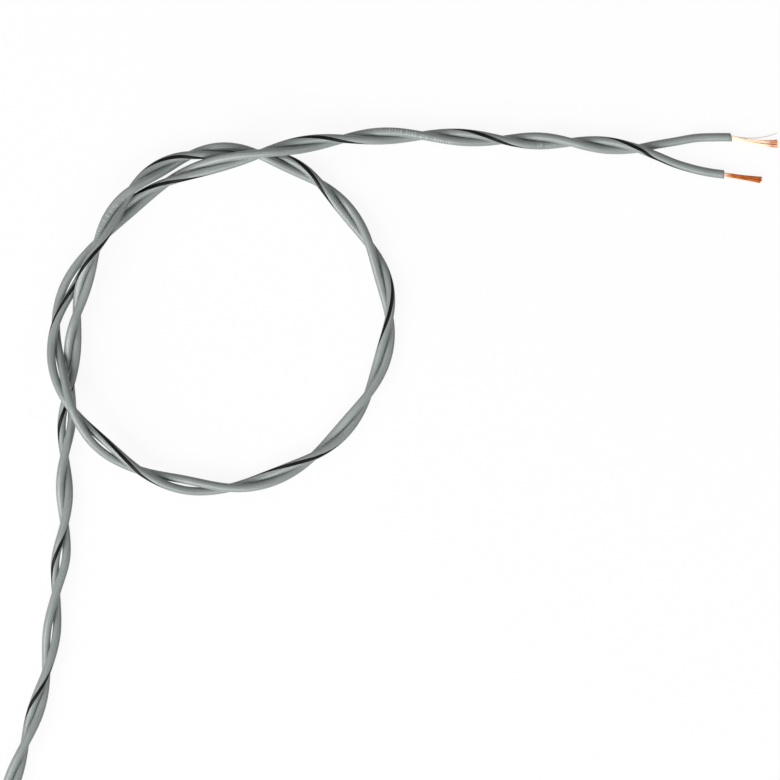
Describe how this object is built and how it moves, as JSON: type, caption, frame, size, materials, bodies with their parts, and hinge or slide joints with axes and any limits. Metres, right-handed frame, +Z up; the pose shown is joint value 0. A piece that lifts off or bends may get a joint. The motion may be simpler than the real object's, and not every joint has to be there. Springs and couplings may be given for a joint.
{
  "type": "twisted-pair speaker cable",
  "caption": "Twisted-pair speaker cable in grey plastic, striped on one core for polarity, lying in a loose loop with its near end split and stripped to bare copper strands.",
  "frame": {"origin": "on the surface that the cable lies on, under the middle of its outline", "axes": "+Z up from that surface, +X towards the split and bared end, +Y towards the loop's far side"},
  "size_m": [0.2819, 0.2659, 0.0139],
  "materials": {
    "plain_insulation": "extruded grey PVC, satin",
    "striped_insulation": "extruded grey PVC with a black lengthwise stripe, satin",
    "copper": "bare drawn copper strand, bright to slightly tarnished"
  },
  "bodies": {
    "root": {"plain_core_insulation": "plain_insulation", "striped_core_insulation": "striped_insulation", "plain_core_conductor": "copper", "striped_core_conductor": "copper", "plain_core_bared_strands": "copper", "striped_core_bared_strands": "copper"}
  },
  "joints": []
}
